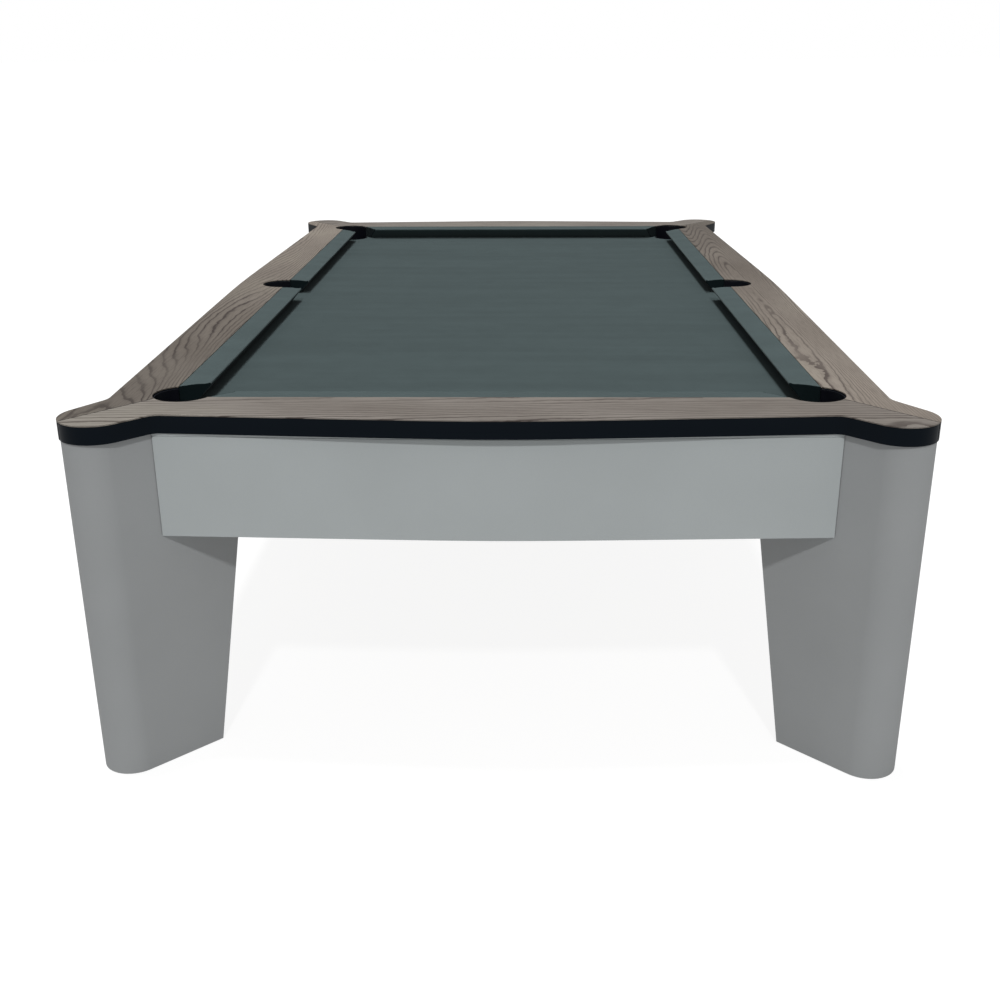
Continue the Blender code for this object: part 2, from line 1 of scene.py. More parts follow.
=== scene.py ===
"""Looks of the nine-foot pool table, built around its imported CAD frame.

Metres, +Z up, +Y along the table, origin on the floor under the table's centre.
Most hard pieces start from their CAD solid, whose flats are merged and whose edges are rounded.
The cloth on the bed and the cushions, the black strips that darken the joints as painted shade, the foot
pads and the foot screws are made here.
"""

from math import cos, hypot, pi, radians, sin

import bmesh
import bpy
from mathutils import Matrix, Vector, noise


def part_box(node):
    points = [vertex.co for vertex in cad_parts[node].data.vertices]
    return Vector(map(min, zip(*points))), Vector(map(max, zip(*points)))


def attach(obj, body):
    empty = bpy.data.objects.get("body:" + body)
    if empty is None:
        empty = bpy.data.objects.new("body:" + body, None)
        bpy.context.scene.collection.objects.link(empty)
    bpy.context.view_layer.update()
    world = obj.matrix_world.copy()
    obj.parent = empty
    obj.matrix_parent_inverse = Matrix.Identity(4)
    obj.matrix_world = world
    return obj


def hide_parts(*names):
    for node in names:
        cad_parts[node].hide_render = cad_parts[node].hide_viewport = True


TABLE = "table"
QUADRANTS = ("near_left", "near_right", "far_left", "far_right")
SIDES = ("near", "far", "left", "right")

# How close points count as joined, faces as flat, and vertices as lying on a face, edge or hole
WELD = 0.00001
FLAT = radians(0.3)
ON_FACE = 0.0005
ON_EDGE = 0.0001
ON_HOLE = 0.0002

# How much of a unit normal counts as facing a direction
FACING_SHARE = 0.3

# Rounded edges
VENEER_ROUND = 0.0006
BAND_ROUND = 0.0008
APRON_ROUND = 0.0016
LEG_ROUND = 0.0022
LINER_ROUND = 0.0006
TIMBER_ROUND = 0.0015
SLATE_ROUND = 0.0010
CLOTH_ROUND = 0.0004
FACING_ROUND = 0.0006
EDGE_ANGLE = radians(32)
CLOTH_EDGE_ANGLE = radians(50)

# Groove under the top edge of each apron
GROOVE_DROP = 0.0055
GROOVE_WIDTH = 0.0016
GROOVE_DEPTH = 0.0014
GROOVE_LEVELS = (0, 0.3, 0.7, 1)

# Black strips in the joints between apron and leg, and in the mitres of the veneered rails: painted shade
# that darkens these gaps
JOINT_GAP = 0.0002
JOINT_INSET = 0.97
STRIP_ROUND = 0.0002
SEAM_THICKNESS = 0.0013
MITRE_THICKNESS = 0.0018

# Cloth on the bed
CLOTH_THICKNESS = 0.0012
CLOTH_STEP_X = 0.040
CLOTH_STEP_Y = 0.010
CLOTH_WRAP = 0.030
CLOTH_BEND = 0.0020
CLOTH_BEND_STEPS = 5
CLOTH_DROP_STEPS = 3
CLOTH_SIDE_REACH = 0.0015
HOLE_REACH = 0.1
CREASE_HEIGHT = 0.00035
CREASE_FADE = 0.06

# Cloth on the cushions
FACING = 0.0020
FACING_GAP = 0.0002
GROOVE_IN_CUSHION = 0.0060
CUSHION_STEP = 0.030

# Cushion profile from the wood's edge over the nose and back. TOP_SLOPE pairs distance with drop,
# UNDERSIDE pairs distance with height above the foot, and the nose's turn is in degrees.
TOP_EDGE = 0.0008
TOP_SLOPE = ((0.012, 0.0001), (0.024, 0.0005), (0.034, 0.0013), (0.042, 0.0024), (0.049, 0.0034))
NOSE_ROUND = 0.0035
NOSE_DROP = 0.0045
NOSE_CENTRE = 0.35
NOSE_FROM = 68
NOSE_SWEEP = 103
NOSE_STEPS = 8
UNDERSIDE = ((0.0460, 0.0200), (0.0300, 0.0010), (0.0290, 0.0), (0.0, 0.0))

# Foot pad's outline as shares of its radius and height, and the stud's thread
PAD_OUTLINE = (
    (0, 0), (0.84, 0), (0.94, 0.05), (1, 0.22), (1, 0.42), (0.97, 0.52),
    (0.70, 0.66), (0.44, 0.80), (0.40, 0.98), (0.37, 1), (0, 1),
)
PAD_SIDES = 48
THREAD_PITCH = 0.0015
THREAD_DEPTH = 0.0009
THREAD_SIDES = 24
THREAD_ROWS_PER_TURN = 6

# Studio
FLOOR_GLOW = 0.90
FLOOR_BOUNCE = 0.32
FLOOR_HALF = 400.0
FLOOR_DROP = 0.0002
SKY_AT_HORIZON = 0.10
SKY_OVERHEAD = 0.40
CAMERA_PLACE = (0.0536, -3.7223, 1.4626)
CAMERA_YAW = radians(1.174)
CAMERA_DOWN = radians(20.553)
CAMERA_ROLL = radians(-0.271)
CAMERA_LENS = 42.598
SENSOR_WIDTH = 36
CAMERA_REACH = 2000

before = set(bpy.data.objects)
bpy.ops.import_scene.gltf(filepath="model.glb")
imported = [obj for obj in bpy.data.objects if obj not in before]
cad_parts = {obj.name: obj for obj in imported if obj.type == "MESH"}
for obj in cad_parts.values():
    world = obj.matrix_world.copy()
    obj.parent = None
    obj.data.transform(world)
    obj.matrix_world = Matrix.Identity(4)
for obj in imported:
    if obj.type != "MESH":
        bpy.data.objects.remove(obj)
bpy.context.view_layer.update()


# ---------------------------------------------------------------- node helpers


class Shading:
    """A Principled material and short ways to add nodes to it."""

    def __init__(self, name, **sockets):
        self.material = bpy.data.materials.new(name)
        self.material.use_nodes = True
        self.tree = self.material.node_tree
        self.shader = self.tree.nodes["Principled BSDF"]
        for socket, value in sockets.items():
            self.shader.inputs[socket.replace("_", " ")].default_value = value

    def add(self, kind, inputs, **settings):
        node = self.tree.nodes.new(kind)
        for name, value in settings.items():
            setattr(node, name, value)
        for socket, value in inputs.items():
            if isinstance(value, bpy.types.NodeSocket):
                self.tree.links.new(value, node.inputs[socket])
            else:
                node.inputs[socket].default_value = value
        return node

    def math(self, operation, first, second=0.0):
        return self.add("ShaderNodeMath", {0: first, 1: second}, operation=operation).outputs[0]

    def place(self):
        """Place in the table's own frame as three sockets."""
        split = self.add("ShaderNodeSeparateXYZ", {0: self.place_vector()})
        return split.outputs[0], split.outputs[1], split.outputs[2]

    def place_vector(self):
        return self.add("ShaderNodeTexCoord", {}).outputs["Object"]

    def scaled(self, vector, scale):
        node = self.add("ShaderNodeVectorMath", {0: vector, 1: scale}, operation="MULTIPLY")
        return node.outputs[0]

    def noise(self, vector, scale, detail=2.0, roughness=0.5, distortion=0.0):
        settings = {"Vector": vector, "Scale": scale, "Detail": detail}
        settings.update({"Roughness": roughness, "Distortion": distortion})
        return self.add("ShaderNodeTexNoise", settings).outputs[0]

    def ramp(self, factor, stops, easing="LINEAR"):
        """Stops are (place, colour), a colour being a grey level or three numbers."""
        node = self.add("ShaderNodeValToRGB", {0: factor})
        colours = node.color_ramp
        colours.interpolation = easing
        while len(colours.elements) < len(stops):
            colours.elements.new(1.0)
        for element, (position, colour) in zip(colours.elements, stops):
            element.position = position
            shade = (colour,) * 3 if isinstance(colour, float) else colour
            element.color = (*shade, 1.0)
        return node.outputs[0]

    def mix(self, factor, first, second, blend="MIX"):
        node = self.tree.nodes.new("ShaderNodeMix")
        node.data_type = "RGBA"
        node.blend_type = blend
        for socket, value in ((0, factor), (6, first), (7, second)):
            if isinstance(value, bpy.types.NodeSocket):
                self.tree.links.new(value, node.inputs[socket])
            elif socket == 0:
                node.inputs[0].default_value = value
            else:
                shade = (value,) * 3 if isinstance(value, float) else value
                node.inputs[socket].default_value = (*shade, 1.0)
        return node.outputs[2]

    def remap(self, value, low, high, from_low=0.0, from_high=1.0):
        inputs = {0: value, 1: from_low, 2: from_high, 3: low, 4: high}
        return self.add("ShaderNodeMapRange", inputs).outputs[0]

    def finish(self, colour=None, roughness=None, height=None, bump=0.2, distance=0.0005):
        links = self.tree.links
        if colour is not None:
            links.new(colour, self.shader.inputs["Base Color"])
        if roughness is not None:
            links.new(roughness, self.shader.inputs["Roughness"])
        if height is not None:
            inputs = {"Strength": bump, "Distance": distance, "Height": height}
            links.new(self.add("ShaderNodeBump", inputs).outputs[0], self.shader.inputs["Normal"])
        return self.material


# ---------------------------------------------------------------- materials


def timber(name, grain, light, dark, lines, swirl, roughness, seed, fading=0.0, **sockets):
    """Sawn wood whose grain runs along the axis given by grain, 0 for X or 1 for Y.

    lines is the number of growth rings in a metre of width, and swirl bends them into long loops.
    fading darkens one end of a board and pales the other, opposite ways on the table's two sides.
    """
    surface = Shading(name, **sockets)
    place = surface.place()
    along = place[grain]
    across = surface.math("ADD", place[1 - grain], place[2])

    def stretched(by_length, by_width):
        length = surface.math("MULTIPLY", along, by_length)
        width = surface.math("MULTIPLY", across, by_width)
        return surface.add("ShaderNodeCombineXYZ", {0: length, 1: width, 2: seed}).outputs[0]

    loops = surface.noise(stretched(0.32, 4.6), 1.0, 1.0, 0.35)
    waves = surface.noise(stretched(14.0, 22.0), 1.0, 3.0, 0.6)
    field = surface.math("MULTIPLY", across, lines)
    field = surface.math("ADD", field, surface.math("MULTIPLY", loops, swirl))
    field = surface.math("ADD", field, surface.math("MULTIPLY", waves, 0.9))
    ring = surface.math("FRACT", field)
    pale = tuple(0.25 * a + 0.75 * b for a, b in zip(dark, light))
    stops = [(0.0, dark), (0.13, dark), (0.26, pale), (0.50, light), (0.82, light), (1.0, pale)]
    colour = surface.ramp(ring, stops)
    fade = surface.ramp(surface.noise(stretched(2.4, 11.0), 1.0, 2.0, 0.5), [(0.42, 0.0), (0.66, 0.65)])
    colour = surface.mix(fade, colour, tuple(0.90 * c for c in light))
    fibres = surface.noise(stretched(16.0, 520.0), 1.0, 3.0, 0.6)
    colour = surface.mix(surface.ramp(fibres, [(0.32, 0.45), (0.50, 0.0)]), colour, dark)
    patches = surface.noise(stretched(1.6, 3.0), 1.0, 2.0, 0.5)
    tints = [(0.32, (0.80, 0.78, 0.76)), (0.50, (0.97, 0.96, 0.95)), (0.68, (1.12, 1.13, 1.09))]
    colour = surface.mix(1.0, colour, surface.ramp(patches, tints), "MULTIPLY")
    sides = surface.math("MULTIPLY", place[0], place[1])
    drift = surface.remap(sides, 1 + fading, 1 - fading, -1.0, 1.0)
    colour = surface.mix(1.0, colour, drift, "MULTIPLY")
    shine = surface.remap(fibres, roughness + 0.08, roughness - 0.05)
    return surface.finish(colour, shine, fibres, 0.18, 0.0003)


def billiard_cloth(name, colour):
    """Worsted cloth: a fine twill, short fibres, soft mottling and streaks across the table."""
    surface = Shading(name, Sheen_Weight=0.05, Sheen_Roughness=0.45, Specular_IOR_Level=0.08)
    place = surface.place_vector()
    mottling = surface.noise(place, 14.0, 4.0, 0.6)
    streaks = surface.noise(surface.scaled(place, (1.1, 17.0, 1.0)), 1.0, 4.0, 0.6)
    fibres = surface.noise(place, 1400.0, 2.0, 0.7)
    x, y, z = surface.place()
    diagonal = surface.math("MULTIPLY", surface.math("ADD", surface.math("ADD", x, y), z), 5200.0)
    twill = surface.math("SINE", diagonal)
    darker = tuple(0.96 * c for c in colour)
    lighter = tuple(1.04 * c for c in colour)
    shade = surface.ramp(mottling, [(0.3, darker), (0.7, lighter)])
    shade = surface.mix(1.0, shade, surface.ramp(streaks, [(0.35, 0.95), (0.65, 1.05)]), "MULTIPLY")
    shade = surface.mix(1.0, shade, surface.ramp(fibres, [(0.3, 0.88), (0.7, 1.12)]), "MULTIPLY")
    height = surface.math("ADD", fibres, surface.math("MULTIPLY", twill, 0.25))
    rough = surface.remap(fibres, 0.88, 1.0)
    return surface.finish(shade, rough, height, 0.25, 0.0002)


def satin_paint(name, colour, roughness, peel=0.05, flakes=0.04, **sockets):
    """Sprayed paint: an orange-peel surface, fine flakes and slight cloudiness."""
    surface = Shading(name, **sockets)
    place = surface.place_vector()
    clouds = surface.noise(place, 3.0, 3.0, 0.55)
    specks = surface.noise(place, 1800.0, 1.0, 0.5)
    ripple = surface.noise(place, 320.0, 2.0, 0.5)
    low = tuple(0.965 * c for c in colour)
    high = tuple(1.035 * c for c in colour)
    shade = surface.ramp(clouds, [(0.3, low), (0.7, high)])
    sparkle = surface.ramp(specks, [(0.35, 1.0 - flakes), (0.65, 1.0 + flakes)])
    shade = surface.mix(1.0, shade, sparkle, "MULTIPLY")
    rough = surface.remap(clouds, roughness - 0.04, roughness + 0.04)
    return surface.finish(shade, rough, ripple, peel, 0.0002)


def slate_stone(name):
    surface = Shading(name, Specular_IOR_Level=0.35)
    place = surface.place_vector()
    clouds = surface.noise(place, 6.0, 6.0, 0.62, 0.4)
    grains = surface.noise(surface.scaled(place, (1.0, 1.0, 5.0)), 240.0, 4.0, 0.65)
    stops = [(0.30, (0.060, 0.066, 0.072)), (0.52, (0.095, 0.100, 0.106)), (0.72, (0.125, 0.128, 0.130))]
    speckle = surface.ramp(grains, [(0.3, 0.82), (0.7, 1.15)])
    shade = surface.mix(1.0, surface.ramp(clouds, stops), speckle, "MULTIPLY")
    return surface.finish(shade, surface.remap(grains, 0.68, 0.9), grains, 0.4, 0.0005)


def moulded_plastic(name, colour, roughness):
    """Moulded plastic or rubber with a fine leather-like grain."""
    surface = Shading(name, Specular_IOR_Level=0.25)
    place = surface.place_vector()
    inputs = {"Vector": place, "Scale": 620.0}
    cells = surface.add("ShaderNodeTexVoronoi", inputs, feature="SMOOTH_F1").outputs[0]
    clouds = surface.noise(place, 28.0, 3.0, 0.5)
    low = tuple(0.8 * c for c in colour)
    shade = surface.ramp(clouds, [(0.3, low), (0.7, colour)])
    rough = surface.remap(clouds, roughness - 0.05, roughness + 0.07)
    return surface.finish(shade, rough, cells, 0.12, 0.0002)


def zinc_steel(name):
    surface = Shading(name, Metallic=1.0)
    place = surface.place_vector()
    turned = surface.noise(surface.scaled(place, (60.0, 60.0, 3000.0)), 1.0, 2.0, 0.5)
    stains = surface.noise(place, 55.0, 3.0, 0.6)
    shade = surface.ramp(stains, [(0.3, (0.50, 0.51, 0.53)), (0.7, (0.63, 0.64, 0.65))])
    return surface.finish(shade, surface.remap(turned, 0.22, 0.40), turned, 0.1, 0.0001)


def floor_finish(name):
    """A pale floor that glows, more for the camera than for the light it throws on the table."""
    surface = Shading(name, Specular_IOR_Level=0.0)
    place = surface.place_vector()
    clouds = surface.noise(place, 0.6, 3.0, 0.5)
    shade = surface.ramp(clouds, [(0.3, 0.19), (0.7, 0.21)])
    seen = surface.add("ShaderNodeLightPath", {}).outputs["Is Camera Ray"]
    glow = surface.remap(seen, FLOOR_BOUNCE, FLOOR_GLOW)
    surface.tree.links.new(glow, surface.shader.inputs["Emission Strength"])
    return surface.finish(shade, surface.remap(clouds, 0.85, 0.95), clouds, 0.02, 0.001)


OAK_LIGHT = (0.270, 0.246, 0.222)
OAK_BROWN = (0.236, 0.207, 0.178)
OAK_DARK = (0.075, 0.060, 0.053)
BEECH_LIGHT = (0.52, 0.37, 0.23)
BEECH_DARK = (0.36, 0.23, 0.13)
PINE_LIGHT = (0.62, 0.45, 0.26)
PINE_DARK = (0.43, 0.26, 0.12)
BED_COLOUR = (0.060, 0.082, 0.084)
# The cushions' cloth is the bed's cloth made lighter: painted light for the cushion tops catching more
# light than the bed.
CUSHION_LIT_COLOUR = (0.071, 0.096, 0.098)
# The facings' cloth is the cushions' cloth darkened: painted shade for the deep shadow the facings sit in.
FACING_SHADED_COLOUR = (0.008, 0.016, 0.018)
LACQUER_COLOUR = (0.0030, 0.0065, 0.0110)
PLASTIC_COLOUR = (0.006, 0.007, 0.012)
RUBBER_COLOUR = (0.016, 0.017, 0.018)
APRON_SILVER = (0.535, 0.574, 0.578)
# The legs' silver is the aprons' paint darkened: painted shade for the legs standing in less light.
LEG_SHADED_SILVER = (0.425, 0.440, 0.445)

END_OAK = {"lines": 38.0, "swirl": 22.0, "roughness": 0.50, "seed": 3.7}
SIDE_OAK = {"lines": 85.0, "swirl": 60.0, "roughness": 0.50, "seed": 8.2, "fading": 0.32}
BEECH = {"lines": 90.0, "swirl": 6.0, "roughness": 0.6, "seed": 1.3}
PINE = {"lines": 110.0, "swirl": 9.0, "roughness": 0.62}

oak_cross = timber("oak_grain_across", 0, OAK_LIGHT, OAK_DARK, **END_OAK, Specular_IOR_Level=0.25)
oak_long = timber("oak_grain_along", 1, OAK_BROWN, OAK_DARK, **SIDE_OAK, Specular_IOR_Level=0.25)
beech_wood = timber("beech_wood", 1, BEECH_LIGHT, BEECH_DARK, **BEECH)
pine_long = timber("pine_along", 1, PINE_LIGHT, PINE_DARK, **PINE, seed=5.1)
pine_cross = timber("pine_across", 0, PINE_LIGHT, PINE_DARK, **PINE, seed=6.4)
bed_green = billiard_cloth("bed_cloth", BED_COLOUR)
cushion_lit_green = billiard_cloth("cushion_cloth", CUSHION_LIT_COLOUR)
facing_shaded_green = billiard_cloth("facing_cloth_painted_shade", FACING_SHADED_COLOUR)
apron_silver = satin_paint("silver_paint", APRON_SILVER, 0.50, Specular_IOR_Level=0.25)
leg_shaded_silver = satin_paint("silver_paint_shaded_legs", LEG_SHADED_SILVER, 0.50, Specular_IOR_Level=0.25)
lacquer = satin_paint("black_lacquer", LACQUER_COLOUR, 0.34, 0.02, 0.02, Specular_IOR_Level=0.09)
stone = slate_stone("slate")
plastic = moulded_plastic("pocket_plastic", PLASTIC_COLOUR, 0.44)
rubber = moulded_plastic("black_rubber", RUBBER_COLOUR, 0.70)
zinc = zinc_steel("zinc_steel")


# ---------------------------------------------------------------- piece helpers


def welded(node):
    """A CAD node's solid with its split corners joined and its flat faces merged."""
    work = bmesh.new()
    work.from_mesh(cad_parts[node].data)
    bmesh.ops.remove_doubles(work, verts=work.verts, dist=WELD)
    bmesh.ops.dissolve_limit(work, angle_limit=FLAT, verts=work.verts, edges=work.edges)
    return work


def piece(name, work, material, nodes=(), body=TABLE):
    """A finished piece from a bmesh, riding on its body in place of CAD nodes."""
    mesh = bpy.data.meshes.new(name)
    work.to_mesh(mesh)
    work.free()
    mesh.shade_smooth()
    mesh.materials.append(material)
    obj = bpy.data.objects.new(name, mesh)
    bpy.context.scene.collection.objects.link(obj)
    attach(obj, body)
    if nodes:
        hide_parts(*nodes)
    return obj


def rounded(obj, width, segments=3, angle=EDGE_ANGLE):
    bevel = obj.modifiers.new("Rounded edges", "BEVEL")
    bevel.width = width
    bevel.segments = segments
    bevel.limit_method = "ANGLE"
    bevel.angle_limit = angle
    bevel.miter_outer = "MITER_ARC"
    normals = obj.modifiers.new("Even shading", "WEIGHTED_NORMAL")
    normals.keep_sharp = True
    return obj


def refined(name, node, material, width, segments=3, body=TABLE):
    return rounded(piece(name, welded(node), material, [node], body), width, segments)


def centre_of(node):
    low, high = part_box(node)
    return (low + high) / 2


# ---------------------------------------------------------------- rails and aprons


def make_rails():
    for side in SIDES:
        oak = oak_cross if side in ("near", "far") else oak_long
        refined("oak_veneer_" + side, "rail_cap_" + side, oak, VENEER_ROUND, 2)
        refined("black_band_" + side, "rail_core_" + side, lacquer, BAND_ROUND)
    for side in ("near", "far"):
        # Black strips in the mitres, painted shade for the open joints.
        joint_shade_strips("mitre_strip_" + side, "rail_cap_" + side, MITRE_THICKNESS)


def grooved_apron(side):
    """An apron with a fine groove run along its outer face, just under its top edge."""
    node = "apron_" + side
    work = welded(node)
    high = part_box(node)[1]
    out = centre_of(node)
    out.z = 0
    out.normalize()
    top = high.z - GROOVE_DROP
    levels = [top - share * GROOVE_WIDTH for share in GROOVE_LEVELS]
    for level in levels:
        geometry = work.verts[:] + work.edges[:] + work.faces[:]
        bmesh.ops.bisect_plane(work, geom=geometry, plane_co=(0, 0, level), plane_no=(0, 0, 1))
    work.normal_update()
    for vertex in work.verts:
        inside = levels[2] - WELD < vertex.co.z < levels[1] + WELD
        if inside and vertex.normal.dot(out) > FACING_SHARE:
            vertex.co -= out * GROOVE_DEPTH
    panel = piece("apron_panel_" + side, work, apron_silver, [node])
    return rounded(panel, APRON_ROUND)


def joint_shade_strips(name, node, thickness):
    """Thin black strips against the two skew end faces of a rail or an apron: painted shade that darkens
    the joint.
    """
    work = welded(node)
    work.normal_update()
    lean = {face: min(abs(face.normal.x), abs(face.normal.y)) for face in work.faces}
    skew = [face for face in work.faces if lean[face] > FACING_SHARE]
    ends = sorted(skew, key=lambda face: face.calc_area())[-2:]
    for label, face in zip(("start", "end"), ends):
        strip = bmesh.new()
        middle = face.calc_center_median()
        spots = [middle + (vertex.co - middle) * JOINT_INSET for vertex in face.verts]
        near = strip.faces.new([strip.verts.new(spot + face.normal * JOINT_GAP) for spot in spots])
        made = bmesh.ops.extrude_face_region(strip, geom=[near])["geom"]
        for vertex in (item for item in made if isinstance(item, bmesh.types.BMVert)):
            vertex.co += face.normal * thickness
        bmesh.ops.recalc_face_normals(strip, faces=strip.faces)
        rounded(piece(f"{name}_{label}", strip, rubber), STRIP_ROUND)
    work.free()


def make_aprons():
    for side in SIDES:
        grooved_apron(side)
        # Black strips in the seams between apron and leg, painted shade for the open joints.
        joint_shade_strips("seam_strip_" + side, "apron_" + side, SEAM_THICKNESS)


def make_legs():
    for corner in QUADRANTS:
        # The legs get the darkened copy of the silver paint, painted shade.
        refined("leg_blade_" + corner, "leg_" + corner, leg_shaded_silver, LEG_ROUND)


# ---------------------------------------------------------------- cloth on the cushions


def rail_frame(node):
    """Sizes of a cushion read from its CAD solid.

    Gives the axis it runs along, which side of the table it is on, where the wood's edge is,
    and how far it reaches along that axis, at the wood and at the nose.
    """
    low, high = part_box(node)
    along = 0 if high.x - low.x > high.y - low.y else 1
    over = 1 - along
    sign = 1 if centre_of(node)[over] > 0 else -1
    back = max(abs(low[over]), abs(high[over]))
    front = min(abs(low[over]), abs(high[over]))
    points = [v.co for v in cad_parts[node].data.vertices]
    at_back = [p[along] for p in points if abs(abs(p[over]) - back) < ON_FACE]
    at_front = [p[along] for p in points if abs(abs(p[over]) - front) < ON_FACE]
    return {
        "along": along,
        "sign": sign,
        "back": back,
        "depth": back - front,
        "wood": (min(at_back), max(at_back)),
        "nose": (min(at_front), max(at_front)),
        "low": low.z,
        "high": high.z,
    }


def cloth_section(sizes, groove):
    """Cushion profile as (distance from the wood's edge, height), with or without its groove."""
    depth, top, foot = sizes["depth"], sizes["high"], sizes["low"]
    centre = (depth - NOSE_ROUND, top - NOSE_DROP - NOSE_CENTRE * NOSE_ROUND)
    points = []
    if groove:
        ledge, lip = groove
        points += [(0.0, ledge), (GROOVE_IN_CUSHION, ledge), (GROOVE_IN_CUSHION, lip), (0.0, lip)]
    points += [(0.0, top - TOP_EDGE), (TOP_EDGE, top)]
    points += [(distance, top - drop) for distance, drop in TOP_SLOPE]
    for step in range(NOSE_STEPS + 1):
        turn = radians(NOSE_FROM - NOSE_SWEEP * step / NOSE_STEPS)
        points.append((centre[0] + NOSE_ROUND * cos(turn), centre[1] + NOSE_ROUND * sin(turn)))
    points += [(distance, foot + height) for distance, height in UNDERSIDE]
    return points


def lofted(sizes, section, starts, ends, steps):
    """A section swept along a rail between two end faces that lean with depth.

    starts and ends give the place along the rail at the wood and at the nose.
    """
    work = bmesh.new()
    rings = []
    for step in range(steps + 1):
        share = step / steps
        ring = []
        for depth, height in section:
            lean = depth / sizes["depth"]
            first = starts[0] + (starts[1] - starts[0]) * lean
            last = ends[0] + (ends[1] - ends[0]) * lean
            place = first + (last - first) * share
            over = sizes["sign"] * (sizes["back"] - depth)
            spot = (place, over, height) if sizes["along"] == 0 else (over, place, height)
            ring.append(work.verts.new(spot))
        rings.append(ring)
    for first, second in zip(rings, rings[1:]):
        for a, b, c, d in zip(first, first[1:] + first[:1], second[1:] + second[:1], second):
            work.faces.new((a, b, c, d))
    work.faces.new(rings[0])
    work.faces.new(rings[-1])
    bmesh.ops.recalc_face_normals(work, faces=work.faces)
    if work.calc_volume(signed=True) < 0:
        bmesh.ops.reverse_faces(work, faces=work.faces)
    return work


def make_cushions():
    names = ["near", "far"] + [a + b for a in ("left_", "right_") for b in ("near", "far")]
    for name in names:
        node = "cushion_" + name
        sizes = rail_frame(node)
        strip_low, strip_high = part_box("feather_strip_" + name)
        groove = (strip_low.z - FACING_GAP, strip_high.z + FACING_GAP)
        inset = FACING + FACING_GAP
        starts = (sizes["wood"][0] + inset, sizes["nose"][0] + inset)
        ends = (sizes["wood"][1] - inset, sizes["nose"][1] - inset)
        steps = round((ends[0] - starts[0]) / CUSHION_STEP)
        work = lofted(sizes, cloth_section(sizes, groove), starts, ends, steps)
        # The cushions get the lighter copy of the bed cloth, painted light.
        body = piece("cushion_cloth_" + name, work, cushion_lit_green, [node])
        rounded(body, CLOTH_ROUND, 2, CLOTH_EDGE_ANGLE)
        whole = cloth_section(sizes, None)
        for label, edge, side in (("start", 0, 1), ("end", 1, -1)):
            outer = (sizes["wood"][edge], sizes["nose"][edge])
            inner = tuple(place + side * FACING for place in outer)
            first, last = (outer, inner) if edge == 0 else (inner, outer)
            work = lofted(sizes, whole, first, last, 1)
            # Each facing gets the darkened copy of the cloth, painted shade.
            facing = piece(f"cushion_facing_{name}_{label}", work, facing_shaded_green)
            rounded(facing, FACING_ROUND, 2, CLOTH_EDGE_ANGLE)


# ---------------------------------------------------------------- cloth on the bed


def cloth_outline():
    """The CAD cloth's upper outline as one loop, in order."""
    work = welded("bed_cloth")
    top = max(work.faces, key=lambda face: face.calc_center_median().z)
    loop = [vertex.co.copy() for vertex in top.verts]
    work.free()
    return loop


def creased(x, y):
    """Height of the faint creases that run across the table where the cloth was folded."""
    swell = noise.noise(Vector((x * 1.1, y * 6.5, 1.7)))
    fold = max(0.0, 1 - 11 * abs(noise.noise(Vector((x * 0.5, y * 4.2, 6.1)))))
    reach = max(0.0, noise.noise(Vector((x * 1.9, y * 2.3, 3.4))) + 0.25)
    return CREASE_HEIGHT * (0.5 + 0.5 * swell + fold * fold * reach)


def gridded(work, low, high, step, axis):
    """Cuts a flat mesh across at even distances."""
    count = round((high - low) / step)
    normal = Vector((0, 0, 0))
    normal[axis] = 1
    for index in range(1, count):
        place = Vector((0, 0, 0))
        place[axis] = low + (high - low) * index / count
        geometry = work.verts[:] + work.edges[:] + work.faces[:]
        bmesh.ops.bisect_plane(work, geom=geometry, plane_co=place, plane_no=normal, dist=WELD)


def turned_down(work, edges, outward):
    """Wraps a stretch of the cloth's border over the slate's edge. outward gives its direction."""
    turns = [pi / 2 * i / CLOTH_BEND_STEPS for i in range(1, CLOTH_BEND_STEPS + 1)]
    profile = [(CLOTH_BEND * sin(turn), CLOTH_BEND * (1 - cos(turn))) for turn in turns]
    for i in range(1, CLOTH_DROP_STEPS + 1):
        profile.append((CLOTH_BEND, CLOTH_BEND + (CLOTH_WRAP - CLOTH_BEND) * i / CLOTH_DROP_STEPS))
    last_out, last_down = 0.0, 0.0
    for out, down in profile:
        made = bmesh.ops.extrude_edge_only(work, edges=edges)["geom"]
        edges = [g for g in made if isinstance(g, bmesh.types.BMEdge)]
        for vertex in {v for edge in edges for v in edge.verts}:
            away = outward(vertex.co)
            vertex.co.x += away.x * (out - last_out)
            vertex.co.y += away.y * (out - last_out)
            vertex.co.z -= down - last_down
        last_out, last_down = out, down


def pocket_holes(outline):
    """Centre and flat radius of each pocket's hole, the radius taken to where the cloth turns down."""
    holes = []
    for name in (*QUADRANTS, "middle_left", "middle_right"):
        centre = Vector(centre_of("pocket_cup_" + name)[:2])
        radius = min(hypot(p.x - centre.x, p.y - centre.y) for p in outline)
        holes.append((centre, radius + CLOTH_BEND))
    return holes


def hole_near(holes, point):
    """The pocket's hole that a point is nearest to, and how far the point is outside it."""
    spot = Vector(point[:2])
    centre, radius = min(holes, key=lambda hole: (spot - hole[0]).length - hole[1])
    return centre, (spot - centre).length - radius


def cloth_border(outline, holes, edge_x, edge_y):
    """The outline drawn in to where the cloth turns down, along the slate's edges and around the holes."""
    border = []
    for point in outline:
        spot = Vector((max(-edge_x, min(edge_x, point.x)), max(-edge_y, min(edge_y, point.y))))
        centre, outside = hole_near(holes, spot)
        away = spot - centre
        if outside < 0:
            radius = away.length - outside
            if abs(abs(spot.x) - edge_x) < ON_EDGE:
                away.y = (1 if away.y > 0 else -1) * (radius**2 - away.x**2) ** 0.5
            elif abs(abs(spot.y) - edge_y) < ON_EDGE:
                away.x = (1 if away.x > 0 else -1) * (radius**2 - away.y**2) ** 0.5
            else:
                away = away.normalized() * radius
            spot = centre + away
        border.append(spot)
    return border


